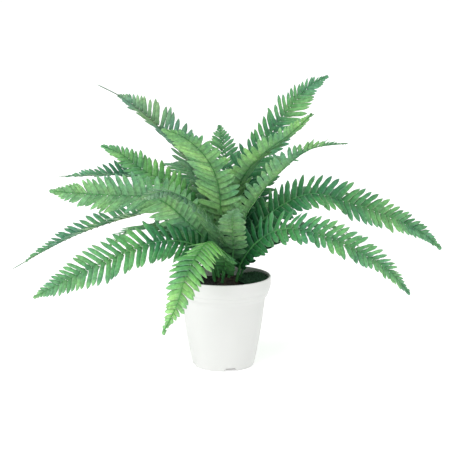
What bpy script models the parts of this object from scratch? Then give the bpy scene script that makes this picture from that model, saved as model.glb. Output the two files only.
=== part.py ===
"""A fern in a tapered nursery pot: pot, potting mix, crown, moss and one solid for each frond.

Metres, +Z up. The origin is on the pot's axis, at the foot. The fern's right is +X and its front is -Y.
"""
import math

import bpy
import numpy as np
from mathutils import Vector

MM = 0.001

# Driving dimensions, in millimetres
POT_RADIUS = 60.0
POT_HEIGHT = 115.6
POT_WALL = 1.8
FOOT_RADIUS = 37.2
FOOT_HEIGHT = 5.0
FLOOR_THICKNESS = 2.0
FOOT_RING = 10.2
NOTCH_WIDTH = 15.0
NOTCH_DEPTH = 14.0
NOTCH_HEIGHT = 4.2
NOTCH_COUNT = 4
FIRST_NOTCH_DEG = 284.0
DRAIN_HOLE_RADIUS = 2.2
DRAIN_HOLE_CIRCLE = 32.8
DRAIN_HOLE_COUNT = 4
FIRST_DRAIN_DEG = 284.0
LIP_ROOT = 105.0
POT_FLOOR_RADIUS = 37.6
MIX_FOOT = 12.0
SOIL_LEVEL = 104.5
GAP = 0.3
CROWN_CENTRE = (4.0, 0.0, 100.5)
CROWN_RADIUS = 17.0
CROWN_FOOT = 92.0
STALK_CLEARANCE = 1.2
MOSS_CENTRE = (38.0, 4.0)
MOSS_RADII = (16.0, 28.0, 4.6)

# The outer side of the pot as (radius, height), from the lip down to the foot
POT_SIDE = [
    (POT_RADIUS, 113.5), (POT_RADIUS, 104.0), (57.6, 97.0), (55.4, 92.0), (52.9, 87.5), (52.3, 80.0),
    (50.6, 70.0), (49.6, 61.0), (47.2, 45.0), (45.6, 35.0), (43.6, 25.0), (41.6, 14.0), (39.4, 4.0),
    (38.6, 1.2), (FOOT_RADIUS, 0.0),
]

STALK_HALF_WIDTH = 1.3
FROND_THICKNESS = 0.9
LEAFLET_PITCH = 10.5
LEAFLET_LEAN = 0.35
BARE_STALK = 68.0
TAPER_SHARE = 0.5
TURN_SEGMENTS = 40

# Each frond: azimuth and elevation in degrees of its root on the crown, the longest leaflet, the bare length
# at the tip, the angle that the leaflets rise from the blade, which way the upper face looks at the root and
# at the tip, and the points that its midrib passes through, in millimetres.
FRONDS = {
    "frond_left_top": (
        150, 62, 30, 32, 8, (0.4, -0.5, 0.5), (0.5, -0.7, 0.5),
        [(-13, 13, 180), (-31, 17, 235), (-55, 30, 270), (-95, 45, 310), (-130, 55, 335), (-160, 60, 350)]),
    "frond_front_left_high": (
        240, 74, 32, 2, 0, (0.3, 0.6, 0.6), (0.3, 0.8, 0.6),
        [(-2, -15, 185), (-8, -37, 245), (-25, -60, 280), (-50, -85, 305), (-70, -100, 315)]),
    "frond_back_high": (
        85, 55, 26, 3, 10, (0, -0.6, 0.6), (0, -0.2, 1),
        [(5, 27, 172), (3, 54, 226), (-1, 84, 264), (-5, 110, 290)]),
    "frond_right_top": (
        40, 66, 34, 2, 0, (-0.6, -0.6, 0.4), (-0.4, -0.7, 0.5),
        [(12, 10, 185), (25, 18, 245), (55, 35, 285), (90, 50, 330), (110, 55, 350), (130, 60, 360)]),
    "frond_right_high": (
        292, 76, 24, 2, 35, (-0.5, 0.4, 0.5), (-0.6, 0.3, 0.7),
        [(10, -10, 190), (22, -25, 240), (45, -50, 275), (80, -70, 305), (105, -85, 330)]),
    "frond_right_mid": (
        322, 60, 26, 6, 35, (-0.4, 0.3, 0.6), (-0.2, 0.1, 1),
        [(24, -12, 185), (38, -25, 215), (70, -45, 255), (105, -60, 285), (150, -75, 295)]),
    "frond_right_arch": (
        352, 42, 32, 2, 15, (-0.1, -0.7, 0.7), (0.2, -0.7, 0.7),
        [(35, 0, 168), (70, -5, 204), (110, -12, 222), (158, -15, 211), (205, -15, 194), (245, -15, 175),
         (270, -15, 155)]),
    "frond_right_low": (
        322, 30, 30, 2, 15, (-0.1, -0.7, 0.7), (0.4, -0.6, 0.7),
        [(22, -20, 135), (42, -32, 165), (72, -47, 184), (120, -62, 180), (165, -70, 161), (200, -80, 140),
         (225, -85, 113)]),
    "frond_left_arch": (
        178, 33, 26, 36, 28, (0.1, -0.3, 1), (0, -0.2, 1),
        [(-16, 3, 140), (-40, 8, 172), (-78, 12, 195), (-120, 15, 187), (-180, 15, 167), (-225, 15, 145),
         (-268, 15, 120)]),
    "frond_left_low": (
        208, 28, 29, 2, 8, (0.1, -0.8, 0.5), (-0.2, -0.8, 0.6),
        [(-18, -17, 142), (-40, -33, 163), (-80, -48, 169), (-125, -58, 155), (-175, -67, 133),
         (-230, -72, 105)]),
    "frond_front_left_low": (
        250, 29, 30, 2, -8, (0.1, 0.7, 0.6), (-0.25, -1, 0.3),
        [(3, -32, 138), (-5, -54, 161), (-17, -84, 176), (-31, -120, 168), (-45, -143, 144), (-55, -156, 114),
         (-70, -163, 84)]),
    "frond_left_broad": (
        218, 50, 31, 2, 0, (0.2, 0.7, 0.4), (0.1, 0.9, 0.5),
        [(-11, -14, 150), (-42, -30, 187), (-80, -50, 222), (-125, -72, 230), (-170, -85, 235),
         (-205, -95, 240)]),
    "frond_left_back": (
        136, 44, 24, 12, 28, (0.3, -0.3, 0.8), (0.1, -0.3, 1),
        [(-14, 24, 165), (-44, 37, 204), (-84, 45, 224), (-130, 48, 235), (-175, 48, 235), (-210, 48, 234)]),
    "frond_left_mid": (
        175, 50, 26, 4, 10, (0.3, -0.6, 0.6), (0.3, -0.7, 0.6),
        [(-20, 4, 168), (-44, 9, 208), (-74, 20, 231), (-105, 32, 247), (-130, 40, 264), (-155, 46, 274)]),
    "frond_front_arch": (
        245, 52, 27, 4, -10, (0.3, 0.5, 0.8), (-0.2, 0.1, 1),
        [(0, -28, 155), (-12, -50, 191), (-35, -74, 221), (-70, -98, 240), (-102, -117, 234)]),
    "frond_front_short": (
        285, 54, 20, 2, 0, (0, 0.7, 0.6), (0, 0.4, 0.9),
        [(12, -26, 150), (11, -52, 182), (11, -80, 207), (15, -105, 220)]),
    "frond_back_left_low": (
        162, 26, 26, 2, 0, (0, -0.2, 1), (-0.2, 0.3, 1),
        [(-18, 18, 135), (-50, 42, 160), (-92, 78, 166), (-125, 105, 152), (-152, 124, 128)]),
    "frond_back_left_mid": (
        146, 29, 28, 2, 0, (0.1, -0.2, 1), (-0.2, 0.3, 1),
        [(-15, 29, 140), (-43, 62, 180), (-82, 98, 203), (-120, 125, 200), (-150, 142, 182)]),
    "frond_back_left_high": (
        114, 50, 27, 2, 0, (0.1, -0.4, 0.9), (-0.1, 0, 1),
        [(-8, 29, 160), (-24, 60, 205), (-44, 92, 230), (-64, 122, 238), (-84, 150, 232)]),
    "frond_back_left": (
        104, 32, 26, 2, 0, (0, -0.2, 1), (-0.1, 0.3, 1),
        [(-4, 38, 140), (-15, 76, 175), (-30, 112, 187), (-44, 142, 175), (-56, 160, 147)]),
    "frond_back_right_high": (
        58, 50, 28, 2, 0, (-0.1, -0.4, 0.9), (0.1, 0, 1),
        [(17, 28, 160), (33, 60, 208), (54, 95, 236), (76, 125, 245), (98, 150, 239)]),
    "frond_back_right": (
        66, 32, 26, 2, 0, (0, -0.2, 1), (0.1, 0.3, 1),
        [(17, 40, 140), (27, 80, 176), (42, 115, 188), (58, 145, 175), (72, 162, 146)]),
    "frond_back_right_mid": (
        28, 38, 28, 2, 0, (-0.1, -0.2, 1), (0.1, 0.2, 1),
        [(30, 24, 145), (62, 52, 190), (105, 85, 208), (148, 112, 205), (185, 132, 185)]),
    "frond_back_right_low": (
        10, 27, 26, 2, 0, (0, -0.1, 1), (0.2, 0.3, 1),
        [(32, 14, 135), (68, 38, 160), (110, 70, 168), (148, 98, 155), (178, 118, 130)]),
    "frond_back_low": (
        88, 22, 24, 2, -5, (0, 0.1, 1), (0, 1, 0.3),
        [(5, 40, 128), (8, 78, 149), (12, 112, 147), (15, 138, 120), (17, 152, 85)]),
    "frond_back_low_left": (
        124, 24, 24, 2, -5, (0, 0.1, 1), (-0.4, 1, 0.3),
        [(-12, 36, 128), (-26, 72, 147), (-40, 105, 142), (-50, 128, 115), (-56, 140, 82)]),
}

COLLECTION = "potted_fern"


def start_scene():
    """Removes what is in the file and makes the collection for the parts and the one for the cutters."""
    for thing in list(bpy.data.objects):
        bpy.data.objects.remove(thing, do_unlink=True)
    parts = bpy.data.collections.new(COLLECTION)
    cutters = bpy.data.collections.new("cutters")
    for group in (parts, cutters):
        bpy.context.scene.collection.children.link(group)
    return parts, cutters


def material(name, colour, roughness):
    made = bpy.data.materials.new(name)
    made.use_nodes = True
    shader = made.node_tree.nodes["Principled BSDF"]
    shader.inputs["Base Color"].default_value = (*colour, 1.0)
    shader.inputs["Roughness"].default_value = roughness
    shader.inputs["Metallic"].default_value = 0.0
    return made


def mesh_object(name, mesh, collection, finish=None):
    made = bpy.data.objects.new(name, mesh)
    collection.objects.link(made)
    if finish is not None:
        mesh.materials.append(finish)
    return made


def cutter(made):
    """Marks an object that only cuts others."""
    made.hide_render = True
    made.display_type = "WIRE"
    return made


def turned(name, profile, collection, finish, segments=TURN_SEGMENTS):
    """A solid turned about Z from (radius, height) pairs in millimetres, its outer side running down."""
    mesh = bpy.data.meshes.new(name)
    corners = [(radius * MM, 0.0, height * MM) for radius, height in profile]
    edges = [(i, i + 1) for i in range(len(corners) - 1)]
    mesh.from_pydata(corners, edges, [])
    made = mesh_object(name, mesh, collection, finish)
    screw = made.modifiers.new("turn", "SCREW")
    screw.axis = "Z"
    screw.steps = segments
    screw.render_steps = segments
    screw.use_merge_vertices = True
    screw.merge_threshold = 0.00001
    return made


def pot_profile():
    """From the middle of the floor, up the inside, over the lip, down the outside and under the foot."""
    floor_top = FOOT_HEIGHT + FLOOR_THICKNESS
    walls = [(radius - POT_WALL, height) for radius, height in POT_SIDE if floor_top < height < LIP_ROOT]
    inside = [(0.0, floor_top), (POT_FLOOR_RADIUS, floor_top)] + walls[::-1]
    lip = [
        (POT_RADIUS - POT_WALL, POT_HEIGHT - 1.2),
        (POT_RADIUS - 1.4, POT_HEIGHT),
        (POT_RADIUS - 0.5, POT_HEIGHT - 0.4),
    ]
    foot_inner = FOOT_RADIUS - FOOT_RING
    under = [(foot_inner, 0.0), (foot_inner, FOOT_HEIGHT), (0.0, FOOT_HEIGHT)]
    return inside + lip + POT_SIDE + under


def cut(target, tool):
    step = target.modifiers.new("cut " + tool.name, "BOOLEAN")
    step.operation = "DIFFERENCE"
    step.solver = "EXACT"
    step.object = tool


def take(made, name, collection):
    """Names a new primitive and moves it into a collection."""
    made.name = name
    for group in list(made.users_collection):
        group.objects.unlink(made)
    collection.objects.link(made)
    return made


def around(radius, degrees, height):
    """A place in metres on a circle about the pot's axis."""
    angle = math.radians(degrees)
    return Vector((radius * math.cos(angle), radius * math.sin(angle), height)) * MM


def make_pot(parts, cutters):
    pot = turned("pot", pot_profile(), parts, material("white plastic", (0.86, 0.86, 0.84), 0.4))
    for i in range(NOTCH_COUNT):
        degrees = FIRST_NOTCH_DEG + i * 360.0 / NOTCH_COUNT
        place = around(FOOT_RADIUS, degrees, 0.0)
        bpy.ops.mesh.primitive_cube_add(size=1.0, location=place, rotation=(0.0, 0.0, math.radians(degrees)))
        notch = take(bpy.context.object, f"notch_cutter_{i + 1}", cutters)
        notch.scale = (NOTCH_DEPTH * MM, NOTCH_WIDTH * MM, 2.0 * NOTCH_HEIGHT * MM)
        cut(pot, cutter(notch))
    for i in range(DRAIN_HOLE_COUNT):
        place = around(DRAIN_HOLE_CIRCLE, FIRST_DRAIN_DEG + i * 360.0 / DRAIN_HOLE_COUNT, FOOT_HEIGHT)
        bpy.ops.mesh.primitive_cylinder_add(
            vertices=16, radius=DRAIN_HOLE_RADIUS * MM, depth=4.0 * FOOT_HEIGHT * MM, location=place)
        cut(pot, cutter(take(bpy.context.object, f"drain_cutter_{i + 1}", cutters)))
    return pot


def crown_profile(grow):
    """The crown is a dome on a short round root; grow makes the pocket that it sits in."""
    reach = CROWN_RADIUS + grow
    foot = CROWN_FOOT - CROWN_CENTRE[2] - grow
    profile = []
    for degrees in range(90, -1, -15):
        angle = math.radians(degrees)
        profile.append((reach * math.cos(angle), reach * math.sin(angle)))
    profile[0] = (0.0, reach)
    return profile + [(reach * 0.92, foot), (0.0, foot)]


def make_crown(parts, cutters):
    crown = turned("crown", crown_profile(0.0), parts, material("rhizome", (0.10, 0.07, 0.04), 0.9), 24)
    crown.location = Vector(CROWN_CENTRE) * MM
    pocket = cutter(turned("crown_pocket", crown_profile(GAP), cutters, None, 24))
    pocket.location = Vector(CROWN_CENTRE) * MM
    return pocket


def make_potting_mix(parts, pocket):
    """Fills the pot to a low mound, a little clear of its wall and floor, with a pocket for the crown."""
    clear = POT_WALL + 2.0 * GAP
    wall = [(radius - clear, height) for radius, height in POT_SIDE[2:] if height > MIX_FOOT]
    floor = FOOT_HEIGHT + FLOOR_THICKNESS + GAP
    rim = wall[0][0]
    profile = [(0.0, SOIL_LEVEL + 1.5), (rim / 2.0, SOIL_LEVEL + 0.5), (rim, SOIL_LEVEL - 2.0)]
    profile += wall + [(POT_FLOOR_RADIUS - GAP, floor), (0.0, floor)]
    mix = turned("potting_mix", profile, parts, material("potting mix", (0.035, 0.025, 0.018), 0.95), 32)
    cut(mix, pocket)
    return mix


def make_moss(parts):
    """A low cushion that lies on the mix beside the crown."""
    profile = []
    for degrees in range(90, -1, -15):
        angle = math.radians(degrees)
        profile.append((MOSS_RADII[0] * math.cos(angle), MOSS_RADII[2] * math.sin(angle)))
    profile[0] = (0.0, MOSS_RADII[2])
    profile.append((0.0, 0.0))
    moss = turned("moss_patch", profile, parts, material("moss", (0.05, 0.11, 0.05), 0.95), 20)
    moss.location = Vector((MOSS_CENTRE[0], MOSS_CENTRE[1], SOIL_LEVEL + 1.5 + GAP)) * MM
    moss.scale = (1.0, MOSS_RADII[1] / MOSS_RADII[0], 1.0)
    return moss


def spline(points, count):
    """Evenly spaced places along a smooth curve through the points, which is a centripetal Catmull-Rom."""
    p = np.array(points, float)
    p = np.vstack([2 * p[0] - p[1], p, 2 * p[-1] - p[-2]])
    knots = np.concatenate([[0.0], np.cumsum(np.sqrt(np.linalg.norm(np.diff(p, axis=0), axis=1)))])
    dense = []
    for i in range(1, len(p) - 2):
        t0, t1, t2, t3 = knots[i - 1:i + 3]
        for t in np.linspace(t1, t2, 24, endpoint=False):
            a1 = (t1 - t) / (t1 - t0) * p[i - 1] + (t - t0) / (t1 - t0) * p[i]
            a2 = (t2 - t) / (t2 - t1) * p[i] + (t - t1) / (t2 - t1) * p[i + 1]
            a3 = (t3 - t) / (t3 - t2) * p[i + 1] + (t - t2) / (t3 - t2) * p[i + 2]
            b1 = (t2 - t) / (t2 - t0) * a1 + (t - t0) / (t2 - t0) * a2
            b2 = (t3 - t) / (t3 - t1) * a2 + (t - t1) / (t3 - t1) * a3
            dense.append((t2 - t) / (t2 - t1) * b1 + (t - t1) / (t2 - t1) * b2)
    dense.append(p[-2])
    dense = np.array(dense)
    run = np.concatenate([[0.0], np.cumsum(np.linalg.norm(np.diff(dense, axis=0), axis=1))])
    places = np.interp(np.linspace(0.0, run[-1], count), run, np.arange(len(dense)))
    whole = np.minimum(places.astype(int), len(dense) - 2)
    part = (places - whole)[:, None]
    return dense[whole] * (1.0 - part) + dense[whole + 1] * part, run[-1]


def root_point(azimuth, elevation):
    """Where a stalk starts, just off the crown's dome."""
    az, el = math.radians(azimuth), math.radians(elevation)
    reach = CROWN_RADIUS + STALK_CLEARANCE
    return (
        CROWN_CENTRE[0] + reach * math.cos(el) * math.cos(az),
        CROWN_CENTRE[1] + reach * math.cos(el) * math.sin(az),
        CROWN_CENTRE[2] + reach * math.sin(el),
    )


def unit(vector):
    return vector / np.linalg.norm(vector)


def leaflet_length(longest, share):
    """A leaflet's length at a share of the way from the first leaflet to the last."""
    swell = min(1.0, 0.45 + share / 0.35)
    taper = min(1.0, (1.0 - share) / TAPER_SHARE) ** 0.8
    return max(3.0, longest * swell * taper)


def make_frond(name, sizes, parts, finish):
    """A thin blade along a curved midrib, with one pointed leaflet on each side at every step."""
    azimuth, elevation, longest, bare_tip, rise, face_root, face_tip, points = sizes
    points = [root_point(azimuth, elevation)] + points
    length = spline(points, 2)[1]
    count = int(round(length / LEAFLET_PITCH)) + 1
    spine = spline(points, count)[0]
    step = length / (count - 1)
    tangents = np.gradient(spine, axis=0)
    corners, faces = [], []
    sides, normals = [], []
    for k in range(count):
        share = k / (count - 1)
        along = unit(tangents[k])
        face = (1.0 - share) * np.array(face_root, float) + share * np.array(face_tip, float)
        normal = unit(face - face.dot(along) * along)
        side = np.cross(along, normal)
        sides.append(side)
        normals.append(normal)
        width = STALK_HALF_WIDTH * (1.0 - 0.6 * share)
        corners.append(spine[k] - side * width)
        corners.append(spine[k] + side * width)
    first = max(2, int(round(BARE_STALK / step)))
    last = count - 1 - int(round(bare_tip / step))
    lift = math.radians(rise)
    for k in range(count - 1):
        a, b = 2 * k, 2 * k + 2
        faces.append((a, a + 1, b + 1, b))
        if k < first or k >= last:
            continue
        grown = leaflet_length(longest, (k - first) / (last - first))
        along = unit(spine[k + 1] - spine[k])
        middle = (spine[k] + spine[k + 1]) / 2.0
        for hand, low, high in ((-1.0, a, b), (1.0, a + 1, b + 1)):
            reach = sides[k] * hand * math.cos(lift) + normals[k] * math.sin(lift)
            tip = middle + grown * (reach + LEAFLET_LEAN * along)
            corners.append(tip)
            new = len(corners) - 1
            faces.append((low, new, high) if hand > 0 else (low, high, new))
    mesh = bpy.data.meshes.new(name)
    mesh.from_pydata([tuple(c * MM) for c in corners], [], faces)
    frond = mesh_object(name, mesh, parts, finish)
    shell = frond.modifiers.new("thickness", "SOLIDIFY")
    shell.thickness = FROND_THICKNESS * MM
    shell.offset = 0.0
    shell.use_even_offset = False
    return frond


def main():
    parts, cutters = start_scene()
    make_pot(parts, cutters)
    pocket = make_crown(parts, cutters)
    make_potting_mix(parts, pocket)
    make_moss(parts)
    finish = material("fern green", (0.10, 0.30, 0.10), 0.5)
    for name, sizes in FRONDS.items():
        make_frond(name, sizes, parts, finish)


main()
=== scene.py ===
"""The looks of a potted fern: fronds with toothed leaflets, potting mix, moss and a satin white nursery pot.

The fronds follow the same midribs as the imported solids. Lengths in the tables are in millimetres.
"""
import math

import bpy
import numpy as np
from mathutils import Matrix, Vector


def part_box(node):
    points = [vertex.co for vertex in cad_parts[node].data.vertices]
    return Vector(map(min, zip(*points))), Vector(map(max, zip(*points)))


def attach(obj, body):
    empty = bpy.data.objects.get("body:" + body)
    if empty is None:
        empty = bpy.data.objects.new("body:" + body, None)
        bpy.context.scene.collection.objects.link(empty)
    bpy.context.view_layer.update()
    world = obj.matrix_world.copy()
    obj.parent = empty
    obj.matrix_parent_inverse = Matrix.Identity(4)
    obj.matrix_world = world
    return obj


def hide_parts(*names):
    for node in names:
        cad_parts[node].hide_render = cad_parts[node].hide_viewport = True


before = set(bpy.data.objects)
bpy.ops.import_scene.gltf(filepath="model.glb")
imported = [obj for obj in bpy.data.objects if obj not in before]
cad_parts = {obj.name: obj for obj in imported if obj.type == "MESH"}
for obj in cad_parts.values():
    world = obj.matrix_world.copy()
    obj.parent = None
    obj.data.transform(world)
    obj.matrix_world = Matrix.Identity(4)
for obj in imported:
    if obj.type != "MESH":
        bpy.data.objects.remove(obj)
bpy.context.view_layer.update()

MM = 0.001
BODY = "root"

# Shared with the solids
CROWN_CENTRE = (4.0, 0.0, 100.5)
CROWN_RADIUS = 17.0
STALK_CLEARANCE = 1.2
POT_WALL = 1.8
FOOT_HEIGHT = 5.0
FLOOR_THICKNESS = 2.0
FOOT_RING = 10.2
NOTCH_WIDTH = 15.0
NOTCH_HEIGHT = 4.2
NOTCH_COUNT = 4
FIRST_NOTCH_DEG = 284.0
NOTCH_END = 30.2

# Leaflets
LEAFLET_WIDTH = 7.3
LEAFLET_PITCH = 8.2
TIP_PITCH = 5.0
FIRST_LEAFLET = 24.0
TAPER_SHARE = 0.36
BARE_TAPER_SHARE = 0.30
LEAFLET_THICKNESS = 0.3
ALONG_STEPS = 15
ACROSS_STEPS = 7
TEETH_MM = 2.1
STALK_RADIUS = 1.45
STALK_SIDES = 8
ATLAS_COLUMNS = 5
SPINE_STEPS = 241
ROW_STAGGER = 1.1
PLACE_JITTER = 0.5
NARROWS_FROM = 0.58  # the share of the frond where the spacing starts to narrow
TOOTH_DEPTH = 0.09
GAP_FILL = 0.93  # the widest that a leaflet is, as a share of the gap to the next
WEB_HALF = 0.56  # half the width of the joined web, as a share of that gap
LEAN_AT_ROOT, LEAN_GAIN, LEAN_AT_TIP = 16.0, 10.0, 20.0
TIP_LEAFLET_LENGTH = 7.0
LONG_BARE_TIP = 10
DARKEST_SHADE = 0.28  # painted shade: how dark the leaflets nearest the crown are made
SHADED, SHADED_BEHIND = 0.34, 0.80  # how far out that painted shade reaches, as a share of the frond
STALK_GREEN = np.array([0.045, 0.15, 0.05])

# Small pieces on top of the potting mix
MIX_BITS = 2600
MOSS_BLADES = 2600
CROWN_SCALES = 520
MIX_RADIUS = 55.0

# Each frond: azimuth and elevation in degrees of its root on the crown, the longest leaflet, the bare length
# at the tip, which way the upper face looks at the root and at the tip, the tone, the angles that the row
# towards the frond's left and the row towards its right rise from the blade, how far out of the midrib the
# leaflets stay joined as a share of their length, how much more they lean forward than the others, and the
# midrib's points.
FRONDS = {
    "frond_left_top": (
        150, 62, 32, 34, (0.4, -0.5, 0.5), (0.5, -0.7, 0.5), "grey", (40, 44), 0.12, 0,
        [(-13, 13, 180), (-31, 17, 235), (-55, 30, 270), (-95, 45, 310), (-130, 55, 335), (-160, 60, 350)]),
    "frond_front_left_high": (
        240, 74, 32, 2, (0.3, 0.6, 0.6), (0.3, 0.8, 0.6), "fresh", (0, 0), 0.55, 0,
        [(-2, -15, 185), (-8, -37, 245), (-25, -60, 280), (-50, -85, 305), (-70, -100, 315)]),
    "frond_back_high": (
        85, 55, 28, 3, (0, -0.6, 0.6), (0, -0.2, 1), "deep", (10, 10), 0.05, 0,
        [(5, 27, 172), (3, 54, 226), (-1, 84, 264), (-5, 110, 290)]),
    "frond_right_top": (
        40, 66, 34, 2, (-0.6, -0.6, 0.4), (-0.4, -0.7, 0.5), "deep", (0, 0), 0.30, 0,
        [(12, 10, 185), (25, 18, 245), (55, 35, 285), (90, 50, 330), (110, 55, 350), (130, 60, 360)]),
    "frond_right_high": (
        292, 76, 26, 2, (-0.5, 0.4, 0.5), (-0.5, 0.7, 0.5), "fresh", (26, 26), 0.50, 0,
        [(10, -10, 190), (22, -25, 240), (45, -50, 275), (80, -70, 305), (105, -85, 330)]),
    "frond_right_mid": (
        322, 60, 30, 6, (-0.4, 0.3, 0.6), (-0.2, 0.1, 1), "mid", (32, 32), 0.45, 0,
        [(24, -12, 185), (38, -25, 215), (70, -45, 255), (105, -60, 285), (150, -75, 295)]),
    "frond_right_arch": (
        352, 42, 28, 2, (-0.1, -0.7, 0.7), (0.2, -0.7, 0.7), "deep", (15, 15), 0.50, 0,
        [(35, 0, 168), (70, -5, 204), (110, -12, 222), (158, -15, 211), (205, -15, 194), (245, -15, 175),
         (270, -15, 155)]),
    "frond_right_low": (
        322, 30, 27, 2, (-0.1, -0.7, 0.7), (0.4, -0.6, 0.7), "mid", (15, 15), 0.30, 0,
        [(22, -20, 135), (42, -32, 165), (72, -47, 184), (120, -62, 180), (165, -70, 161), (200, -80, 140),
         (225, -85, 113)]),
    "frond_left_arch": (
        178, 33, 27, 24, (0.1, -0.3, 1), (0, -0.2, 1), "cool", (38, 28), 0.30, 0,
        [(-16, 3, 140), (-40, 8, 172), (-78, 12, 195), (-120, 15, 187), (-180, 15, 167), (-225, 15, 145),
         (-268, 15, 120)]),
    "frond_left_low": (
        208, 28, 30, 2, (0.1, -0.8, 0.5), (-0.2, -0.8, 0.6), "mid", (8, 8), 0.18, 0,
        [(-18, -17, 142), (-40, -33, 163), (-80, -48, 169), (-125, -58, 155), (-175, -67, 133),
         (-230, -72, 105)]),
    "frond_front_left_low": (
        250, 29, 26, 2, (0.1, 0.7, 0.6), (-0.25, -1, 0.3), "lime", (-38, -8), 0.75, -14,
        [(3, -32, 138), (-5, -54, 161), (-17, -84, 176), (-31, -120, 168), (-45, -143, 144), (-55, -156, 114),
         (-70, -163, 84)]),
    "frond_left_broad": (
        218, 50, 32, 2, (0.2, 0.7, 0.4), (0.1, 0.9, 0.5), "mid", (25, 0), 0.55, 0,
        [(-11, -14, 150), (-42, -30, 187), (-80, -50, 222), (-125, -72, 230), (-170, -85, 235),
         (-205, -95, 240)]),
    "frond_left_back": (
        136, 44, 25, 14, (0.3, -0.3, 0.8), (0.1, -0.3, 1), "cool", (38, 28), 0.35, 0,
        [(-14, 24, 165), (-44, 37, 204), (-84, 45, 224), (-130, 48, 235), (-175, 48, 235), (-210, 48, 234)]),
    "frond_left_mid": (
        175, 50, 27, 4, (0.3, -0.6, 0.6), (0.3, -0.7, 0.6), "fresh", (10, 10), 0.55, 0,
        [(-20, 4, 168), (-44, 9, 208), (-74, 20, 231), (-105, 32, 247), (-130, 40, 264), (-155, 46, 274)]),
    "frond_front_arch": (
        245, 52, 25, 4, (0.3, 0.5, 0.8), (-0.2, 0.1, 1), "olive", (-38, 20), 0.30, 0,
        [(0, -28, 155), (-12, -50, 191), (-35, -74, 221), (-70, -98, 240), (-102, -117, 234)]),
    "frond_front_short": (
        285, 54, 18, 2, (0, 0.7, 0.6), (0, 0.4, 0.9), "olive", (0, 0), 0.12, -6,
        [(12, -26, 150), (11, -52, 182), (11, -80, 207), (15, -105, 220)]),
    "frond_back_left_low": (
        162, 26, 27, 2, (0, -0.2, 1), (-0.2, 0.3, 1), "mid", (4, 4), 0.25, 0,
        [(-18, 18, 135), (-50, 42, 160), (-92, 78, 166), (-125, 105, 152), (-152, 124, 128)]),
    "frond_back_left_mid": (
        146, 29, 29, 2, (0.1, -0.2, 1), (-0.2, 0.3, 1), "deep", (4, 4), 0.25, 0,
        [(-15, 29, 140), (-43, 62, 180), (-82, 98, 203), (-120, 125, 200), (-150, 142, 182)]),
    "frond_back_left_high": (
        114, 50, 28, 2, (0.1, -0.4, 0.9), (-0.1, 0, 1), "deep", (4, 4), 0.25, 0,
        [(-8, 29, 160), (-24, 60, 205), (-44, 92, 230), (-64, 122, 238), (-84, 150, 232)]),
    "frond_back_left": (
        104, 32, 27, 2, (0, -0.2, 1), (-0.1, 0.3, 1), "mid", (0, 0), 0.25, 0,
        [(-4, 38, 140), (-15, 76, 175), (-30, 112, 187), (-44, 142, 175), (-56, 160, 147)]),
    "frond_back_right_high": (
        58, 50, 29, 2, (-0.1, -0.4, 0.9), (0.1, 0, 1), "deep", (4, 4), 0.25, 0,
        [(17, 28, 160), (33, 60, 208), (54, 95, 236), (76, 125, 245), (98, 150, 239)]),
    "frond_back_right": (
        66, 32, 27, 2, (0, -0.2, 1), (0.1, 0.3, 1), "fresh", (0, 0), 0.25, 0,
        [(17, 40, 140), (27, 80, 176), (42, 115, 188), (58, 145, 175), (72, 162, 146)]),
    "frond_back_right_mid": (
        28, 38, 29, 2, (-0.1, -0.2, 1), (0.1, 0.2, 1), "deep", (4, 4), 0.25, 0,
        [(30, 24, 145), (62, 52, 190), (105, 85, 208), (148, 112, 205), (185, 132, 185)]),
    "frond_back_right_low": (
        10, 27, 27, 2, (0, -0.1, 1), (0.2, 0.3, 1), "mid", (4, 4), 0.25, 0,
        [(32, 14, 135), (68, 38, 160), (110, 70, 168), (148, 98, 155), (178, 118, 130)]),
    "frond_back_low": (
        88, 22, 25, 2, (0, 0.1, 1), (0, 1, 0.3), "lime", (-5, -5), 0.25, 0,
        [(5, 40, 128), (8, 78, 149), (12, 112, 147), (15, 138, 120), (17, 152, 85)]),
    "frond_back_low_left": (
        124, 24, 25, 2, (0, 0.1, 1), (-0.4, 1, 0.3), "mid", (-5, -5), 0.25, 0,
        [(-12, 36, 128), (-26, 72, 147), (-40, 105, 142), (-50, 128, 115), (-56, 140, 82)]),
}

# A tone is the colour of the upper side near the root, of the upper side near the tip, of the underside, and
# of the midrib, as linear red, green and blue.
TONES = {
    "deep": ((0.026, 0.158, 0.062), (0.135, 0.275, 0.140), (0.120, 0.260, 0.130), (0.055, 0.170, 0.070)),
    "grey": ((0.085, 0.200, 0.110), (0.190, 0.290, 0.195), (0.090, 0.210, 0.110), (0.130, 0.170, 0.115)),
    "cool": ((0.045, 0.160, 0.085), (0.100, 0.235, 0.130), (0.280, 0.400, 0.280), (0.170, 0.220, 0.150)),
    "mid": ((0.048, 0.212, 0.075), (0.160, 0.310, 0.160), (0.170, 0.320, 0.160), (0.070, 0.190, 0.075)),
    "fresh": ((0.085, 0.260, 0.070), (0.190, 0.370, 0.160), (0.190, 0.350, 0.160), (0.060, 0.170, 0.060)),
    "lime": ((0.085, 0.300, 0.060), (0.230, 0.400, 0.190), (0.160, 0.330, 0.120), (0.065, 0.200, 0.060)),
    "olive": ((0.050, 0.150, 0.050), (0.170, 0.260, 0.170), (0.130, 0.250, 0.115), (0.120, 0.240, 0.100)),
}

# The pale colour that a leaflet's edge turns towards
MARGIN = np.array([0.27, 0.31, 0.27])


# Geometry helpers

def link_object(name, data):
    made = bpy.data.objects.new(name, data)
    bpy.context.scene.collection.objects.link(made)
    return made


def unit(vector):
    """The vector, or each of many, at length 1."""
    return vector / np.linalg.norm(vector, axis=-1, keepdims=True)


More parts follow.
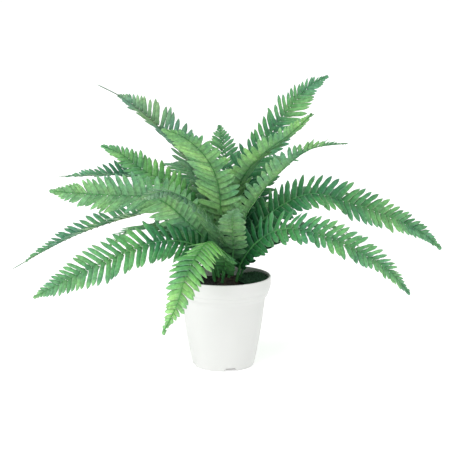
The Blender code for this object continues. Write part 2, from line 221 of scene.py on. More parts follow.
def spline(points, count):
    """Evenly spaced places along a smooth curve through the points, which is a centripetal Catmull-Rom."""
    p = np.array(points, float)
    p = np.vstack([2 * p[0] - p[1], p, 2 * p[-1] - p[-2]])
    knots = np.concatenate([[0.0], np.cumsum(np.sqrt(np.linalg.norm(np.diff(p, axis=0), axis=1)))])
    dense = []
    for i in range(1, len(p) - 2):
        t0, t1, t2, t3 = knots[i - 1:i + 3]
        for t in np.linspace(t1, t2, 24, endpoint=False):
            a1 = (t1 - t) / (t1 - t0) * p[i - 1] + (t - t0) / (t1 - t0) * p[i]
            a2 = (t2 - t) / (t2 - t1) * p[i] + (t - t1) / (t2 - t1) * p[i + 1]
            a3 = (t3 - t) / (t3 - t2) * p[i + 1] + (t - t2) / (t3 - t2) * p[i + 2]
            b1 = (t2 - t) / (t2 - t0) * a1 + (t - t0) / (t2 - t0) * a2
            b2 = (t3 - t) / (t3 - t1) * a2 + (t - t1) / (t3 - t1) * a3
            dense.append((t2 - t) / (t2 - t1) * b1 + (t - t1) / (t2 - t1) * b2)
    dense.append(p[-2])
    dense = np.array(dense)
    run = np.concatenate([[0.0], np.cumsum(np.linalg.norm(np.diff(dense, axis=0), axis=1))])
    places = np.interp(np.linspace(0.0, run[-1], count), run, np.arange(len(dense)))
    whole = np.minimum(places.astype(int), len(dense) - 2)
    part = (places - whole)[:, None]
    return dense[whole] * (1.0 - part) + dense[whole + 1] * part, run[-1]


def root_point(azimuth, elevation):
    """Where a stalk starts, just off the crown's dome."""
    az, el = math.radians(azimuth), math.radians(elevation)
    reach = CROWN_RADIUS + STALK_CLEARANCE
    return (
        CROWN_CENTRE[0] + reach * math.cos(el) * math.cos(az),
        CROWN_CENTRE[1] + reach * math.cos(el) * math.sin(az),
        CROWN_CENTRE[2] + reach * math.sin(el),
    )


class Sheetwork:
    """Gathers vertices, faces, colours and two UV maps, and turns them into one mesh."""

    def __init__(self):
        self.corners, self.faces, self.colours, self.leaf_uv, self.atlas_uv = [], [], [], [], []
        self.sharp, self.total = [], 0

    def add(self, corners, faces, colours, leaf_uv, atlas_uv, sharp):
        """Takes n corners in mm with their colours and leaf_uv, and m faces of four corners.

        atlas_uv is (m, 4, 2), and sharp says which of the m faces are flat shaded.
        """
        self.corners.append(corners)
        self.faces.append(faces + self.total)
        self.colours.append(colours)
        self.leaf_uv.append(leaf_uv)
        self.atlas_uv.append(atlas_uv)
        self.sharp.append(sharp)
        self.total += len(corners)

    def build(self, name, finish):
        corners = np.concatenate(self.corners) * MM
        faces = np.concatenate(self.faces)
        mesh = bpy.data.meshes.new(name)
        mesh.vertices.add(len(corners))
        mesh.vertices.foreach_set("co", corners.ravel())
        mesh.loops.add(faces.size)
        mesh.loops.foreach_set("vertex_index", faces.ravel())
        mesh.polygons.add(len(faces))
        mesh.polygons.foreach_set("loop_start", np.arange(0, faces.size, 4))
        mesh.polygons.foreach_set("loop_total", np.full(len(faces), 4))
        mesh.update(calc_edges=True)
        colour = mesh.attributes.new("leaf_colour", "FLOAT_COLOR", "POINT")
        painted = np.ones((len(corners), 4))
        painted[:, :3] = np.concatenate(self.colours)
        colour.data.foreach_set("color", painted.ravel())
        leaf = mesh.uv_layers.new(name="Leaf")
        leaf.uv.foreach_set("vector", np.concatenate(self.leaf_uv)[faces.ravel()].ravel())
        atlas = mesh.uv_layers.new(name="OFBake")
        atlas.uv.foreach_set("vector", np.concatenate(self.atlas_uv).ravel())
        mesh.polygons.foreach_set("use_smooth", ~np.concatenate(self.sharp))
        mesh.materials.append(finish)
        mesh.validate()
        return link_object(name, mesh)


def leaflet_faces():
    """The faces of one leaflet: its top, its underside and the rim."""
    nu, nv = ALONG_STEPS, ACROSS_STEPS
    under = nu * nv

    def at(i, j):
        return i * nv + j

    top, bottom = [], []
    for i in range(nu - 1):
        for j in range(nv - 1):
            top.append((at(i, j), at(i + 1, j), at(i + 1, j + 1), at(i, j + 1)))
            bottom.append(tuple(under + c for c in top[-1][::-1]))
    loop = [at(i, 0) for i in range(nu)] + [at(nu - 1, j) for j in range(1, nv)]
    loop += [at(i, nv - 1) for i in range(nu - 2, -1, -1)] + [at(0, j) for j in range(nv - 2, 0, -1)]
    rim = []
    for k in range(len(loop)):
        a, b = loop[k], loop[(k + 1) % len(loop)]
        rim.append((b, a, under + a, under + b))
    return np.array(top), np.array(bottom), np.array(rim)


TOP_FACES, BOTTOM_FACES, RIM_FACES = leaflet_faces()


def outline(u, length):
    """A leaflet's half width, as a share of its greatest, at a share u of its length, with toothed edges."""
    body = 0.78 + 0.22 * np.sin(np.clip(u / 0.66, 0.0, 1.0) * math.pi / 2.0)
    point = np.clip((1.0 - u) / 0.24, 0.0, 1.0) ** 0.60
    teeth = 1.0 - TOOTH_DEPTH * ((u * length / TEETH_MM) % 1.0)
    return np.maximum(body * point * teeth, 0.03)


def smooth(low, high, x):
    t = np.clip((x - low) / (high - low), 0.0, 1.0)
    return t * t * (3.0 - 2.0 * t)


def atlas_cell(index, rows):
    """The lower corner and the size of one cell of the bake map."""
    column, row = index % ATLAS_COLUMNS, index // ATLAS_COLUMNS
    return np.array([column / ATLAS_COLUMNS, row / rows]), np.array([1.0 / ATLAS_COLUMNS, 1.0 / rows])


def stations(start, end, first_pitch, last_pitch):
    """Places from start to end whose spacing narrows towards the end."""
    places, here = [], start
    while here < end:
        places.append(here)
        share = (here - start) / (end - start)
        here += first_pitch + (last_pitch - first_pitch) * smooth(NARROWS_FROM, 1.0, share)
    return np.array(places)


def leaflet_lengths(longest, share, taper_share):
    swell = np.minimum(1.0, 0.50 + share / 0.26)
    taper = np.clip((1.0 - share) / taper_share, 0.0, 1.0) ** 0.60
    return np.maximum(4.0, longest * swell * taper)


def make_frond(name, sizes, finish, seed):
    azimuth, elevation, longest, bare_tip, face_root, face_tip, tone, rises, web, lean, points = sizes
    rng = np.random.default_rng(seed)
    work = Sheetwork()
    route = [root_point(azimuth, elevation)] + points
    spine, length = spline(route, SPINE_STEPS)
    run = np.linspace(0.0, length, SPINE_STEPS)
    along = unit(np.gradient(spine, axis=0))
    share = (run / length)[:, None]
    face = (1.0 - share) * np.array(face_root, float) + share * np.array(face_tip, float)
    normal = unit(face - np.sum(face * along, axis=1, keepdims=True) * along)
    side = np.cross(along, normal)

    def at(places, values):
        return np.stack([np.interp(places, run, values[:, i]) for i in range(3)], axis=1)

    places = stations(FIRST_LEAFLET, length - bare_tip, LEAFLET_PITCH, TIP_PITCH)
    # Four cells for each pair of leaflets and two for the tip leaflet, with the last row left for the stalk
    rows = (4 * len(places) + 2) // ATLAS_COLUMNS + 2
    upper, tip_colour, under_colour, rib_colour = (np.array(c) for c in TONES[tone])
    blade_tone = (upper, tip_colour, under_colour)
    reach_share = (places - places[0]) / (places[-1] - places[0])
    taper_share = BARE_TAPER_SHARE if bare_tip > LONG_BARE_TIP else TAPER_SHARE
    base_lengths = leaflet_lengths(longest, reach_share, taper_share)
    # Painted shade reaches further out on the fronds at the back and on frond_right_top
    shade_reach = SHADED_BEHIND if "back" in name or name == "frond_right_top" else SHADED
    leans = lean + LEAN_AT_ROOT + LEAN_GAIN * reach_share + LEAN_AT_TIP * reach_share ** 4
    for hand, rise, first_cell in ((-1.0, rises[0], 0), (1.0, rises[1], 2 * len(places))):
        spots = places + rng.uniform(-PLACE_JITTER, PLACE_JITTER, len(places)) + hand * ROW_STAGGER
        spots = np.clip(spots, 0.0, length - 0.5)
        lengths = base_lengths * rng.uniform(0.93, 1.05, len(places))
        add_row(work, rng, hand, rise, spots, lengths, reach_share, at(spots, spine), unit(at(spots, along)),
                unit(at(spots, normal)), blade_tone, web, leans, shade_reach, first_cell, rows)
    tip_cell = 4 * len(places)
    add_tip_leaflet(work, rng, spine, along, normal, length - bare_tip, run, blade_tone, tip_cell, rows)
    add_stalk(work, spine, along, normal, side, run, length, rib_colour, rows)
    frond = work.build(name + "_leaves", finish)
    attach(frond, BODY)
    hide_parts(name)
    return frond


def add_row(work, rng, hand, rise, spots, lengths, share, base, along, normal, tone, web, leans, shade_reach,
            first_cell, rows):
    """One row of leaflets, all worked out at once. Arrays run over leaflet, step along and step across.

    Each leaflet takes two cells of the bake map, its top and its underside, from first_cell on.
    """
    many = len(spots)
    upper, tip_colour, under = tone
    u = np.linspace(0.0, 1.0, ALONG_STEPS) ** 0.92
    v = np.linspace(-1.0, 1.0, ACROSS_STEPS)
    side = np.cross(along, normal)
    lift = np.radians(rise + rng.normal(0.0, 4.0, many) + 4.0 * np.sin(spots / 23.0))
    lean = np.radians(leans + rng.normal(0.0, 2.5, many))
    outward = side * hand * np.cos(lift)[:, None] + normal * np.sin(lift)[:, None]
    ahead = outward * np.cos(lean)[:, None] + along * np.sin(lean)[:, None]
    up = unit(normal * np.cos(lift)[:, None] - side * hand * np.sin(lift)[:, None])
    forward = (0.26 * (leans > 0.0) + rng.normal(0.0, 0.05, many))[:, None, None]
    droop = (0.20 + rng.normal(0.0, 0.10, many))[:, None, None]
    s = u[None, :, None]
    size = lengths[:, None, None]
    middle = base[:, None] + size * (
        ahead[:, None] * s + along[:, None] * forward * s * s * 0.5 - up[:, None] * droop * s * s * 0.5)
    heading = unit(ahead[:, None] + along[:, None] * forward * s - up[:, None] * droop * s)
    reference = along[:, None] * hand
    across = unit(reference - np.sum(reference * heading, axis=2, keepdims=True) * heading)
    facing = np.cross(heading, across)
    twist = (rng.normal(9.0, 4.0, many) * hand)[:, None] + rng.normal(0.0, 8.0, many)[:, None] * u[None]
    twist = np.radians(twist)[:, :, None]
    across, facing = (
        across * np.cos(twist) + facing * np.sin(twist), facing * np.cos(twist) - across * np.sin(twist))
    slim = np.minimum(1.0, 0.42 + 0.66 * lengths / max(lengths.max(), 20.0))
    gaps = np.gradient(spots) if many > 1 else np.full(1, TIP_PITCH)
    widths = np.minimum(LEAFLET_WIDTH * slim, GAP_FILL * gaps * np.cos(lean))
    half = 0.5 * widths[:, None] * outline(u[None, :], lengths[:, None])
    joined = web + ((0.90 if web > 0.1 else 0.3) - web) * smooth(0.66, 1.0, share)
    joined = np.maximum(joined, (0.75 if web > 0.28 else 0.0) * (1.0 - smooth(0.10, 0.36, share)))[:, None]
    joined = joined + rng.normal(0.0, 0.05, many)[:, None]
    parted = smooth(joined - 0.10, joined + 0.10, u[None])
    web_half = WEB_HALF * (gaps * np.cos(lean))[:, None] * (1.0 - parted)
    half = np.maximum(half, np.minimum(web_half, WEB_HALF * LEAFLET_PITCH))
    crease = rng.uniform(0.10, 0.26, many)[:, None]
    wave = rng.uniform(0.03, 0.10, many)[:, None] * np.sin(
        u[None] * rng.uniform(7.0, 13.0, many)[:, None] + rng.uniform(0.0, 6.3, many)[:, None])
    flat = middle[:, :, None] + across[:, :, None] * (half[:, :, None] * v)[..., None]
    bend = half[:, :, None] * (-crease[:, :, None] * np.abs(v) ** 1.3 + wave[:, :, None] * v * np.abs(v))
    flat = flat + facing[:, :, None] * bend[..., None]
    thick = 0.5 * LEAFLET_THICKNESS * (1.0 - 0.55 * np.abs(v) ** 3)[None, None, :, None]
    top = flat + facing[:, :, None] * thick
    bottom = flat - facing[:, :, None] * thick
    corners = np.stack([top, bottom], axis=1).reshape(-1, 3)

    # Painted shade: leaflets darker and less red nearer the crown, times a random tone of their own; the pale
    # edges take it too
    shade = rng.normal(1.0, 0.08, many) * (DARKEST_SHADE + (1.0 - DARKEST_SHADE) * smooth(0.0, shade_reach, share))
    shade_tint = (shade[:, None] ** np.array([1.5, 1.0, 1.15]))[:, None, None, :]
    grade = np.clip(share ** 1.6 * 0.9 + rng.normal(0.0, 0.06, many), 0.0, 1.0)[:, None, None, None]
    out = smooth(0.25, 1.0, u)[None, :, None, None]
    edge = np.maximum((np.abs(v) ** 6)[None, None, :, None], (u ** 14)[None, :, None, None])
    mix = np.clip(grade + 0.22 * out, 0.0, 1.0)
    top_colour = (upper * (1.0 - mix) + tip_colour * mix) * shade_tint
    pale = np.clip(0.35 * grade + 0.12 * out, 0.0, 1.0)
    low_colour = (under * (1.0 - pale) + tip_colour * pale) * shade_tint
    # Painted shade: each leaflet darker towards the midrib, its underside more so
    inner = (0.70 + 0.30 * smooth(0.0, 0.55, u))[None, :, None, None]
    top_colour, low_colour = top_colour * inner, low_colour * (0.3 + 0.7 * inner)
    top_colour = top_colour + (MARGIN * shade_tint - top_colour) * 0.55 * edge
    low_colour = low_colour + (MARGIN * shade_tint - low_colour) * 0.45 * edge
    colours = np.stack(np.broadcast_arrays(top_colour, low_colour), axis=1).reshape(-1, 3)

    x = np.broadcast_to((u[None] * lengths[:, None])[:, :, None], half[:, :, None].shape[:2] + (len(v),))
    y = half[:, :, None] * v
    leaf = np.stack([x, y], axis=-1)
    leaf = np.stack([leaf, leaf], axis=1).reshape(-1, 2)

    per = 2 * ALONG_STEPS * ACROSS_STEPS
    cell_u = 0.04 + 0.92 * np.broadcast_to(u[:, None], (ALONG_STEPS, ACROSS_STEPS)).ravel()
    cell_v = 0.5 + 0.42 * np.broadcast_to(v[None], (ALONG_STEPS, ACROSS_STEPS)).ravel()
    cell = np.stack([cell_u, cell_v], axis=1)
    pushed = 0.5 + (cell - 0.5) * np.array([1.04, 1.10])
    faces, maps = [], []
    for k in range(many):
        corner, scale = atlas_cell(first_cell + 2 * k, rows)
        below, _ = atlas_cell(first_cell + 2 * k + 1, rows)
        here = np.concatenate([corner + cell * scale, below + cell * scale])
        rim = np.concatenate([corner + cell * scale, corner + pushed * scale])
        faces.append(np.concatenate([TOP_FACES, BOTTOM_FACES, RIM_FACES]) + k * per)
        maps.append(np.concatenate([here[TOP_FACES], here[BOTTOM_FACES], rim[RIM_FACES]]))
    sharp = np.zeros(len(TOP_FACES) + len(BOTTOM_FACES) + len(RIM_FACES), bool)
    sharp[-len(RIM_FACES):] = True
    work.add(corners, np.concatenate(faces), colours, leaf, np.concatenate(maps), np.tile(sharp, many))


def add_tip_leaflet(work, rng, spine, along, normal, place, run, tone, first_cell, rows):
    """The last leaflet, in line with the midrib, which closes the frond's tip."""
    k = min(int(np.searchsorted(run, place - 2.0)), len(run) - 1)
    flat = unit(np.cross(normal[k], along[k]))[None]
    add_row(work, rng, 1.0, 0.0, np.array([place]), np.array([TIP_LEAFLET_LENGTH]), np.array([0.98]),
            spine[k][None], flat, normal[k][None], tone, 0.5, np.zeros(1), 0.3, first_cell, rows)


def add_stalk(work, spine, along, normal, side, run, length, rib_colour, rows):
    """The stalk and midrib: a tapered round stem, grooved above."""
    rings = len(run)
    angle = np.linspace(0.0, 2.0 * math.pi, STALK_SIDES, endpoint=False)
    share = run / length
    radius = STALK_RADIUS * (1.0 - 0.72 * share ** 0.8) + 0.5 * np.exp(-run / 7.0)
    radius = np.maximum(radius, 0.72 * np.clip((length - run) / 4.0, 0.2, 1.0))
    wide = np.cos(angle)[None, :, None] * side[:, None] * radius[:, None, None]
    groove = 1.0 - 0.22 * np.exp(-((angle - math.pi / 2.0) / 0.5) ** 2)
    high = (np.sin(angle) * groove)[None, :, None] * normal[:, None] * radius[:, None, None] * 0.9
    corners = (spine[:, None] + wide + high).reshape(-1, 3)
    faces, maps = [], []
    for i in range(rings - 1):
        for j in range(STALK_SIDES):
            n = (j + 1) % STALK_SIDES
            a, b = i * STALK_SIDES, (i + 1) * STALK_SIDES
            faces.append((a + j, a + n, b + n, b + j))
            left, right = i / (rings - 1), (i + 1) / (rings - 1)
            low, high_v = j / STALK_SIDES, (j + 1) / STALK_SIDES
            maps.append(((left, low), (left, high_v), (right, high_v), (right, low)))
    half = STALK_SIDES // 2
    for ring, turn in ((0, -1), (rings - 1, 1)):
        for j in range(1, half):
            a = ring * STALK_SIDES
            quad = (a + j - 1, a + j, a + STALK_SIDES - 1 - j, a + STALK_SIDES - j)
            faces.append(quad if turn > 0 else quad[::-1])
            maps.append(((0.0, 0.0), (0.001, 0.0), (0.001, 0.001), (0.0, 0.001)))
    maps = np.array(maps)
    maps[..., 1] = (rows - 1 + 0.1 + 0.8 * maps[..., 1]) / rows
    fade = smooth(20.0, 110.0, run)[:, None]
    colour = STALK_GREEN * (1.0 - fade) + rib_colour * fade
    colour = np.repeat(colour[:, None], STALK_SIDES, axis=1).reshape(-1, 3)
    leaf = np.stack(np.broadcast_arrays(run[:, None], 40.0 + angle[None]), axis=-1).reshape(-1, 2)
    work.add(corners, np.array(faces), colour, leaf, maps, np.zeros(len(faces), bool))


# Materials

def nodes_of(name):
    made = bpy.data.materials.new(name)
    made.use_nodes = True
    tree = made.node_tree
    return made, tree, tree.nodes["Principled BSDF"]


def ramp_of(tree, value, low, low_colour, high, high_colour):
    """A colour that runs between two as the value runs from low to high."""
    made = node(tree, "ShaderNodeValToRGB")
    first, second = made.color_ramp.elements
    first.position, second.position = low, high
    first.color, second.color = (*low_colour, 1.0), (*high_colour, 1.0)
    tree.links.new(value, made.inputs[0])
    return made.outputs[0]


def node(tree, kind, **settings):
    made = tree.nodes.new(kind)
    for key, value in settings.items():
        setattr(made, key, value)
    return made


def maths(tree, operation, a, b=None, clamp=False):
    made = node(tree, "ShaderNodeMath", operation=operation, use_clamp=clamp)
    for socket, value in zip(made.inputs, (a, b)):
        if value is None:
            continue
        if isinstance(value, (int, float)):
            socket.default_value = value
        else:
            tree.links.new(value, socket)
    return made.outputs[0]


def noise(tree, scale, detail=3.0, vector=None, roughness=0.55):
    made = node(tree, "ShaderNodeTexNoise")
    made.inputs["Scale"].default_value = scale
    made.inputs["Detail"].default_value = detail
    made.inputs["Roughness"].default_value = roughness
    if vector is None:
        vector = node(tree, "ShaderNodeTexCoord").outputs["Object"]
    tree.links.new(vector, made.inputs["Vector"])
    return made.outputs["Fac"]


def span(tree, value, low, high, to_low, to_high):
    made = node(tree, "ShaderNodeMapRange")
    for key, number in zip(("From Min", "From Max", "To Min", "To Max"), (low, high, to_low, to_high)):
        made.inputs[key].default_value = number
    tree.links.new(value, made.inputs["Value"])
    return made.outputs["Result"]


def bump(tree, shader, height, strength, distance):
    made = node(tree, "ShaderNodeBump")
    made.inputs["Strength"].default_value = strength
    made.inputs["Distance"].default_value = distance
    tree.links.new(height, made.inputs["Height"])
    tree.links.new(made.outputs["Normal"], shader.inputs["Normal"])


def leaf_material():
    """Green from the leaf_colour attribute, with slanting veins, a pale midrib and mottling."""
    made, tree, shader = nodes_of("fern_leaf")
    colour = node(tree, "ShaderNodeAttribute", attribute_name="leaf_colour").outputs["Color"]
    uv = node(tree, "ShaderNodeUVMap", uv_map="Leaf").outputs["UV"]
    parts = node(tree, "ShaderNodeSeparateXYZ")
    tree.links.new(uv, parts.inputs[0])
    x, y = parts.outputs["X"], parts.outputs["Y"]
    off = maths(tree, "ABSOLUTE", y)
    slant = maths(tree, "SUBTRACT", x, maths(tree, "MULTIPLY", off, 0.85))
    stripe = maths(tree, "PINGPONG", maths(tree, "ADD", slant, 200.0), 0.62)
    vein = span(tree, stripe, 0.0, 0.22, 1.0, 0.0)
    rib = span(tree, off, 0.12, 0.42, 1.0, 0.0)
    on_blade = span(tree, off, 20.0, 21.0, 1.0, 0.0)
    rib = maths(tree, "MULTIPLY", rib, on_blade)
    vein = maths(tree, "MULTIPLY", vein, on_blade)
    mottle = span(tree, noise(tree, 260.0, 4.0), 0.3, 0.7, 0.82, 1.44)
    gain = maths(tree, "MULTIPLY", mottle, span(tree, vein, 0.0, 1.0, 1.08, 0.72))
    gain = maths(tree, "MULTIPLY", gain, span(tree, rib, 0.0, 1.0, 1.0, 1.22))
    patch = ramp_of(tree, noise(tree, 26.0, 3.0), 0.36, (0.60, 0.84, 0.84), 0.66, (1.08, 1.22, 0.86))
    tinted = node(tree, "ShaderNodeVectorMath", operation="MULTIPLY")
    tree.links.new(colour, tinted.inputs[0])
    tree.links.new(patch, tinted.inputs[1])
    scaled = node(tree, "ShaderNodeVectorMath", operation="SCALE")
    tree.links.new(tinted.outputs[0], scaled.inputs[0])
    tree.links.new(gain, scaled.inputs["Scale"])
    tree.links.new(scaled.outputs[0], shader.inputs["Base Color"])
    tree.links.new(span(tree, noise(tree, 180.0, 2.0), 0.3, 0.7, 0.44, 0.62), shader.inputs["Roughness"])
    height = maths(tree, "ADD", maths(tree, "MULTIPLY", vein, -0.5), maths(tree, "MULTIPLY", rib, 0.8))
    height = maths(tree, "ADD", height, noise(tree, 420.0, 3.0))
    bump(tree, shader, height, 0.35, 0.0004)
    shader.inputs["Specular IOR Level"].default_value = 0.16
    return made


def pot_material():
    """White satin polypropylene, a little cloudy, with faint flow marks."""
    made, tree, shader = nodes_of("pot_plastic")
    cloud = ramp_of(tree, noise(tree, 18.0, 3.0), 0.3, (0.632, 0.635, 0.622), 0.7, (0.652, 0.654, 0.642))
    tree.links.new(cloud, shader.inputs["Base Color"])
    tree.links.new(span(tree, noise(tree, 300.0, 2.0), 0.3, 0.7, 0.34, 0.46), shader.inputs["Roughness"])
    bump(tree, shader, noise(tree, 900.0, 2.0), 0.08, 0.0002)
    return made


def crumb_material(name, dark, light, scale):
    """A rough, speckled finish for the mix, the moss and the crown."""
    made, tree, shader = nodes_of(name)
    speckle = ramp_of(tree, noise(tree, scale, 5.0), 0.35, dark, 0.72, light)
    tree.links.new(speckle, shader.inputs["Base Color"])
    rough = span(tree, noise(tree, scale * 2.0, 2.0), 0.3, 0.7, 0.75, 0.9)
    tree.links.new(rough, shader.inputs["Roughness"])
    bump(tree, shader, noise(tree, scale * 3.0, 4.0), 0.6, 0.0005)
    return made


# Pot, potting mix, moss and crown

def lathe(name, profile, segments, finish, height_at=None):
    """A mesh turned about Z from (radius, height) pairs in mm, both ends of the profile on the axis."""
    angle = np.linspace(0.0, 2.0 * math.pi, segments, endpoint=False)
    inner = profile[1:-1]
    corners = [(0.0, 0.0, profile[0][1])]
    for radius, height in inner:
        for a in angle:
            z = height if height_at is None else height_at(radius, height, a)
            corners.append((radius * math.cos(a), radius * math.sin(a), z))
    corners.append((0.0, 0.0, profile[-1][1]))
    faces = []
    last = len(corners) - 1
    for j in range(segments):
        n = (j + 1) % segments
        faces.append((0, 1 + j, 1 + n))
        for i in range(len(inner) - 1):
            a, b = 1 + i * segments, 1 + (i + 1) * segments
            faces.append((a + j, b + j, b + n, a + n))
        a = 1 + (len(inner) - 1) * segments
        faces.append((a + n, a + j, last))
    mesh = bpy.data.meshes.new(name)
    mesh.from_pydata([(x * MM, y * MM, z * MM) for x, y, z in corners], [], faces)
    mesh.materials.append(finish)
    mesh.shade_smooth()
    return link_object(name, mesh)


# The outer side of the pot as (radius, height), from the lip down to the foot
POT_SIDE = [
    (60.0, 113.5), (60.05, 109.0), (60.0, 104.5), (59.4, 101.0), (58.4, 98.4), (57.9, 97.3), (57.2, 96.9),
    (57.1, 95.4), (56.4, 92.6), (56.0, 91.6), (55.1, 91.2), (54.8, 90.3), (54.0, 88.9), (53.3, 87.8),
    (52.8, 86.6), (52.45, 84.0), (52.2, 80.0), (51.4, 75.0), (50.6, 70.0), (49.7, 61.0), (48.4, 52.0),
    (47.2, 45.0), (46.15, 38.0), (45.85, 36.6), (45.7, 35.4), (45.4, 34.0), (43.9, 26.0), (41.9, 15.0),
    (40.0, 6.5), (39.4, 4.3), (38.9, 2.6), (38.3, 0.9), (37.7, 0.25), (37.2, 0.0),
]


def pot_height_at(radius, height, angle):
    """Raises the foot over each notch."""
    if height > NOTCH_HEIGHT or radius < NOTCH_END + 0.3:
        return height
    for i in range(NOTCH_COUNT):
        middle = math.radians(FIRST_NOTCH_DEG + i * 360.0 / NOTCH_COUNT)
        off = abs((angle - middle + math.pi) % (2.0 * math.pi) - math.pi) * 38.0
        rise = 1.0 - float(smooth(NOTCH_WIDTH / 2.0 - 1.8, NOTCH_WIDTH / 2.0 + 0.6, off))
        height = max(height, NOTCH_HEIGHT * rise)
    return height


def make_pot():
    lip = []
    for degrees in range(180, -1, -30):
        a = math.radians(degrees)
        lip.append((58.95 + 1.05 * math.cos(a), 114.5 + 1.1 * math.sin(a)))
    floor_top = FOOT_HEIGHT + FLOOR_THICKNESS
    inside = [(radius - POT_WALL, height) for radius, height in POT_SIDE if floor_top < height < 111.0]
    profile = [(0.0, floor_top), (36.0, floor_top)] + inside[::-1] + [(57.9, 112.5)] + lip + POT_SIDE
    inner = 37.2 - FOOT_RING
    profile += [(NOTCH_END + 0.6, 0.0), (NOTCH_END, 0.0), (inner + 0.3, 0.0), (inner, 0.4)]
    profile += [(inner, FOOT_HEIGHT), (0.0, FOOT_HEIGHT)]
    pot = lathe("pot_shell", profile, 240, pot_material(), pot_height_at)
    pot.data.set_sharp_from_angle(angle=math.radians(50.0))
    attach(pot, BODY)
    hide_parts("pot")


def scatter(name, blobs, finish):
    """Many small closed bodies as one mesh. blobs holds (corners, faces) pairs in mm."""
    corners, faces, total = [], [], 0
    for points, shape in blobs:
        corners.append(points)
        faces += [tuple(int(c) + total for c in f) for f in shape]
        total += len(points)
    mesh = bpy.data.meshes.new(name)
    mesh.from_pydata(np.concatenate(corners) * MM, [], faces)
    mesh.materials.append(finish)
    return link_object(name, mesh)


def crumb(rng, place, size):
    """An irregular chunk: a cube pulled out of shape."""
    cube = np.array([(x, y, z) for z in (-1, 1) for y in (-1, 1) for x in (-1, 1)], float)
    cube *= rng.uniform(0.55, 1.0, (8, 3)) * size * 0.5 * rng.uniform(0.6, 1.3, 3)
    turn, _ = np.linalg.qr(rng.normal(size=(3, 3)))
    if np.linalg.det(turn) < 0:
        turn[:, 0] *= -1.0
    faces = [(0, 2, 3, 1), (4, 5, 7, 6), (0, 1, 5, 4), (2, 6, 7, 3), (0, 4, 6, 2), (1, 3, 7, 5)]
    return cube @ turn.T + place, faces


def mix_top(radius):
    """The height of the potting mix: a slight dome that drops towards the wall."""
    return 106.0 - 1.0 * min(radius, 27.0) / 27.0 - 2.5 * max(0.0, radius - 27.0) / 28.0


def make_potting_mix():
    rng = np.random.default_rng(11)
    soil = crumb_material("potting_mix_crumbs", (0.005, 0.006, 0.006), (0.032, 0.034, 0.028), 320.0)
    clear = POT_WALL + 0.6
    wall = [(radius - clear, height) for radius, height in POT_SIDE if 12.0 < height < 101.0]
    top = [(0.0, mix_top(0.0))] + [(r, mix_top(r) - 0.4) for r in np.linspace(3.0, MIX_RADIUS, 18)]
    profile = top + wall + [(37.0, 7.3), (0.0, 7.3)]
    body = lathe("potting_mix_body", profile, 96, soil)
    for corner in body.data.vertices:
        x, y, z = corner.co / MM
        if z > 100.0 and math.hypot(x, y) < 54.0:
            corner.co.z += float(rng.uniform(-0.8, 0.5)) * MM
    blobs = []
    for _ in range(MIX_BITS):
        radius, angle = MIX_RADIUS * math.sqrt(rng.uniform()), rng.uniform(0.0, 2.0 * math.pi)
        height = mix_top(radius) + rng.uniform(-0.6, 0.4)
        place = np.array([radius * math.cos(angle), radius * math.sin(angle), height])
        blobs.append(crumb(rng, place, rng.uniform(0.8, 2.8)))
    crumbs = scatter("potting_mix_bits", blobs, soil)
    for piece in (body, crumbs):
        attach(piece, BODY)
        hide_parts("potting_mix")


def blade(rng, base, heading, length, width):
    """A tiny pointed leaf, closed, bent over at its tip."""
    heading = heading / np.linalg.norm(heading)
    across = np.cross(heading, rng.normal(size=3))
    across /= np.linalg.norm(across)
    facing = np.cross(heading, across)
    rings = []
    for share, wide in ((0.0, 0.55), (0.4, 1.0), (0.75, 0.75), (1.0, 0.08)):
        middle = base + heading * length * share - np.array([0.0, 0.0, 0.25 * length * share * share])
        half = across * width * 0.5 * wide
        thick = facing * 0.09
        rings += [middle - half, middle + thick, middle + half, middle - thick]
    faces = []
    for i in range(3):
        for j in range(4):
            n = (j + 1) % 4
            faces.append((4 * i + j, 4 * i + n, 4 * i + 4 + n, 4 * i + 4 + j))
    faces += [(3, 2, 1, 0), (12, 13, 14, 15)]
    return np.array(rings), faces


def make_moss():
    rng = np.random.default_rng(23)
    low, high = (np.array(c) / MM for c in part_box("moss_patch"))
    middle, half = (low + high) / 2.0, (high - low) / 2.0
    finish = crumb_material("moss_leaves", (0.008, 0.040, 0.020), (0.060, 0.190, 0.085), 420.0)
    blobs = []
    for _ in range(MOSS_BLADES):
        radius, angle = math.sqrt(rng.uniform()), rng.uniform(0.0, 2.0 * math.pi)
        x, y = radius * math.cos(angle), radius * math.sin(angle)
        z = low[2] + 2.2 + (high[2] - low[2]) * 0.8 * math.sqrt(max(0.0, 1.0 - radius * radius))
        base = np.array([middle[0] + x * half[0] * 1.08, middle[1] + y * half[1] * 1.10, z])
        heading = np.array([x * 0.7, y * 0.7, 0.9]) + rng.normal(0.0, 0.45, 3)
        heading[2] = abs(heading[2])
        blobs.append(blade(rng, base, heading, rng.uniform(2.6, 5.4), rng.uniform(0.7, 1.2)))
    moss = scatter("moss_tufts", blobs, finish)
    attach(moss, BODY)
    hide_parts("moss_patch")


def make_crown():
    rng = np.random.default_rng(31)
    finish = crumb_material("rhizome_scales", (0.012, 0.012, 0.008), (0.055, 0.045, 0.026), 260.0)
    centre = np.array(CROWN_CENTRE)
    profile = [(CROWN_RADIUS * 0.97 * math.cos(a), CROWN_CENTRE[2] + CROWN_RADIUS * 0.97 * math.sin(a))
               for a in np.linspace(math.pi / 2.0, 0.0, 14)]
    profile[0] = (0.0, profile[0][1])
    profile += [(15.5, 93.0), (0.0, 92.5)]
    body = lathe("crown_body", profile, 48, finish)
    for corner in body.data.vertices:
        corner.co.x += CROWN_CENTRE[0] * MM
    blobs = []
    for _ in range(CROWN_SCALES):
        heading = rng.normal(size=3)
        heading[2] = abs(heading[2])
        heading /= np.linalg.norm(heading)
        base = centre + heading * CROWN_RADIUS * 0.96
        lean = heading * 0.6 + rng.normal(0.0, 0.5, 3)
        blobs.append(blade(rng, base, lean, rng.uniform(2.0, 5.0), rng.uniform(0.7, 1.3)))
    scales = scatter("crown_scales", blobs, finish)
    for piece in (body, scales):
        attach(piece, BODY)
        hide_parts("crown")


# Stage

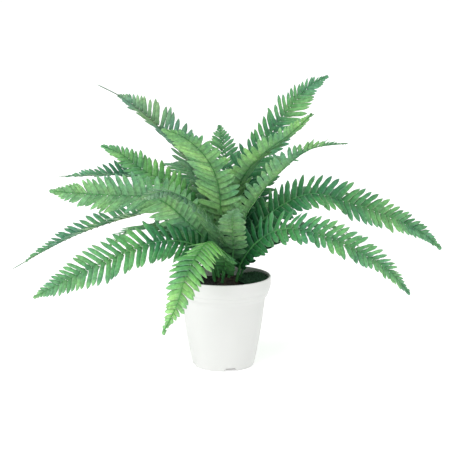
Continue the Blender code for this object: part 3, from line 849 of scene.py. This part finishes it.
CAMERA_DISTANCE = 2.2
CAMERA_ELEVATION = math.radians(11.0)
CAMERA_TARGET = (0.002, 0.0, 0.180)
FRAME_WIDTH = 0.5648


def make_camera():
    data = bpy.data.cameras.new("camera")
    data.sensor_width = 36.0
    data.lens = 36.0 * CAMERA_DISTANCE / FRAME_WIDTH
    data.clip_end = 50.0
    camera = link_object("camera", data)
    away = Vector((0.0, -math.cos(CAMERA_ELEVATION), math.sin(CAMERA_ELEVATION)))
    camera.location = Vector(CAMERA_TARGET) + away * CAMERA_DISTANCE
    camera.rotation_euler = (math.pi / 2.0 - CAMERA_ELEVATION, 0.0, 0.0)
    bpy.context.scene.camera = camera


def area_light(name, place, size, power):
    data = bpy.data.lights.new(name, "AREA")
    data.shape = "DISK"
    data.size = size
    data.energy = power
    light = link_object(name, data)
    light.location = place
    aim = Vector((0.0, 0.0, 0.16)) - Vector(place)
    light.rotation_euler = aim.to_track_quat("-Z", "Y").to_euler()


def make_stage():
    made, tree, shader = nodes_of("stage_paper")
    paper = ramp_of(tree, noise(tree, 3.0, 2.0), 0.0, (0.90, 0.90, 0.90), 1.0, (0.92, 0.92, 0.92))
    tree.links.new(paper, shader.inputs["Base Color"])
    shader.inputs["Roughness"].default_value = 0.9
    shader.inputs["Specular IOR Level"].default_value = 0.1
    shader.inputs["Emission Color"].default_value = (1.0, 1.0, 1.0, 1.0)
    shader.inputs["Emission Strength"].default_value = 0.33
    bpy.ops.mesh.primitive_grid_add(x_subdivisions=4, y_subdivisions=4, size=14.0)
    floor = bpy.context.object
    floor.name = "stage_floor"
    floor.data.materials.append(made)
    world = bpy.data.worlds.new("studio")
    world.use_nodes = True
    world.node_tree.nodes["Background"].inputs["Color"].default_value = (1.0, 1.0, 1.0, 1.0)
    world.node_tree.nodes["Background"].inputs["Strength"].default_value = 1.0
    bpy.context.scene.world = world
    bpy.context.scene.view_settings.view_transform = "Standard"
    area_light("key", (-1.3, -1.6, 1.6), 1.8, 29.0)
    area_light("fill", (1.6, -1.2, 1.0), 1.2, 1.0)


def main():
    make_camera()
    make_stage()
    make_pot()
    make_potting_mix()
    make_moss()
    make_crown()
    finish = leaf_material()
    for seed, (name, sizes) in enumerate(FRONDS.items()):
        make_frond(name, sizes, finish, seed + 1)


main()
